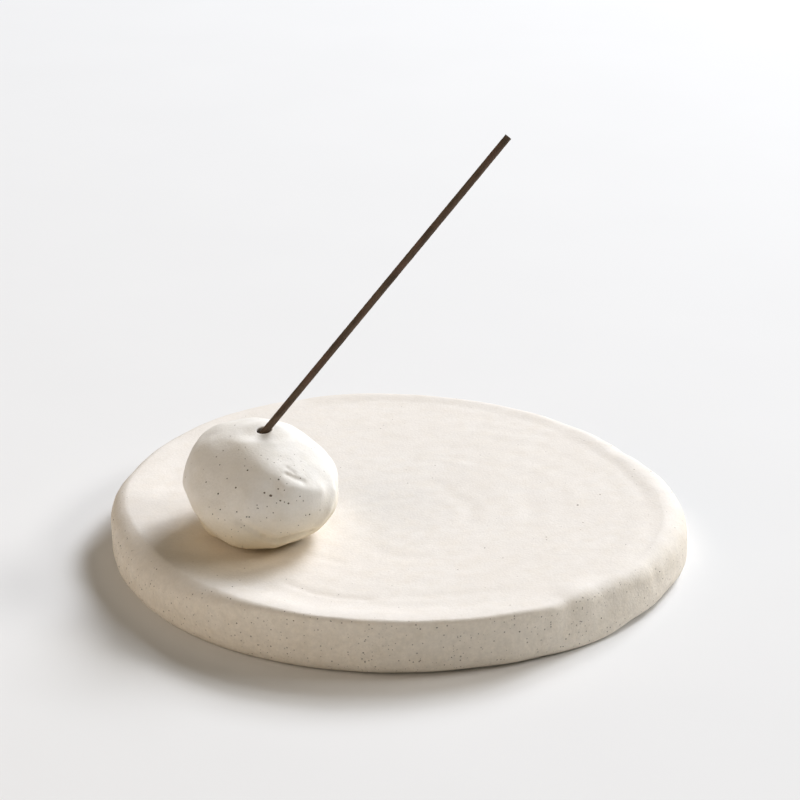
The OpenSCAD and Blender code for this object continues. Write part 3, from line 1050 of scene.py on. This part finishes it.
# %% Places of the noted specks
# On the pebble a speck is (heading, rise, width in mm), and on the plate (x, y, width in mm)
PEBBLE_NOTED = [
    (-79, 22, 0.85), (-84, 25, 0.6), (-72, 16, 0.55), (-66, 12, 0.6), (-71, 35, 0.55), (-101, 45, 0.6),
    (-110, 28, 0.6), (-126, 18, 0.6), (-98, -1, 0.5), (-96, -1, 0.5), (-73, 27, 0.5), (-68, 25, 0.4),
    (-75, 14, 0.35), (-69, 14, 0.4), (-106, 4, 0.45), (-120, 3, 0.45), (-126, -4, 0.4), (-50, -4, 0.5),
    (-53, -4, 0.4), (-83, -2, 0.35), (-78, 4, 0.4), (-141, 24, 0.45), (-136, 44, 0.45), (-122, 35, 0.4),
    (-89, 9, 0.35), (-57, 17, 0.4),
]
PLATE_NOTED = [(51.4, -4.2, 0.7), (-45.0, -60.0, 0.5), (24.0, -33.0, 0.4)]


def noted_specks(points, widths):
    """Loose points, each with the width of the speck that it will carry."""
    mesh = bpy.data.meshes.new("noted_specks")
    mesh.from_pydata([tuple(np.array(p) * MM) for p in points], [], [])
    mesh.attributes.new("width", "FLOAT", "POINT").data.foreach_set("value", [w * MM for w in widths])
    return bpy.data.objects.new("noted_specks", mesh)


pebble_noted = noted_specks([stone_points(heading_and_rise(a, u)) for a, u, w in PEBBLE_NOTED],
                            [w for a, u, w in PEBBLE_NOTED])
plate_noted = noted_specks([(x, y, floor_z) for x, y, w in PLATE_NOTED], [w for x, y, w in PLATE_NOTED])
print(len(PEBBLE_NOTED), "noted specks on the pebble,", len(PLATE_NOTED), "on the plate")

# %% Specks of the plate and the pebble
def speckle(name, clay, noted, per_square_metre, smallest, largest, seed):
    """Specks over a piece of clay, as one mesh. Sizes are in mm."""
    scene.collection.objects.link(noted)
    specks = grow(name, speck_tree, speck_keys, {
        "Specks per Square Metre": per_square_metre, "Smallest": smallest * MM, "Largest": largest * MM,
        "Seed": seed, "Noted Specks": noted, "Finish": iron_fleck}, clay.data.copy())
    bpy.data.objects.remove(noted)
    return specks


pebble_specks = speckle("pebble_iron_specks", pebble, pebble_noted, per_square_metre=3500, smallest=0.15,
                        largest=0.4, seed=3)
plate_specks = speckle("plate_iron_specks", plate, plate_noted, per_square_metre=42000, smallest=0.15,
                       largest=0.55, seed=5)

# %% [markdown]
# ## Joining the pieces to the frame
# Each piece rides on the body that it belongs to, so the pebble lifts off the plate and the
# stick draws out of the pebble with everything on them. The clay and the rod stand for the
# three imported solids. The specks ride with the clay that they sit on.

# %% Ride and replace
for piece, body, slot in ((plate, "plate", "plate_clay"), (plate_specks, "plate", "plate_clay"),
                          (pebble, "pebble", "pebble_clay"), (pebble_specks, "pebble", "pebble_clay"),
                          (stick, "stick", "incense")):
    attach(piece, body)
    print(piece.name, "rides on", body)
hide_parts("plate")
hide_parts("pebble")
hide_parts("incense_stick")
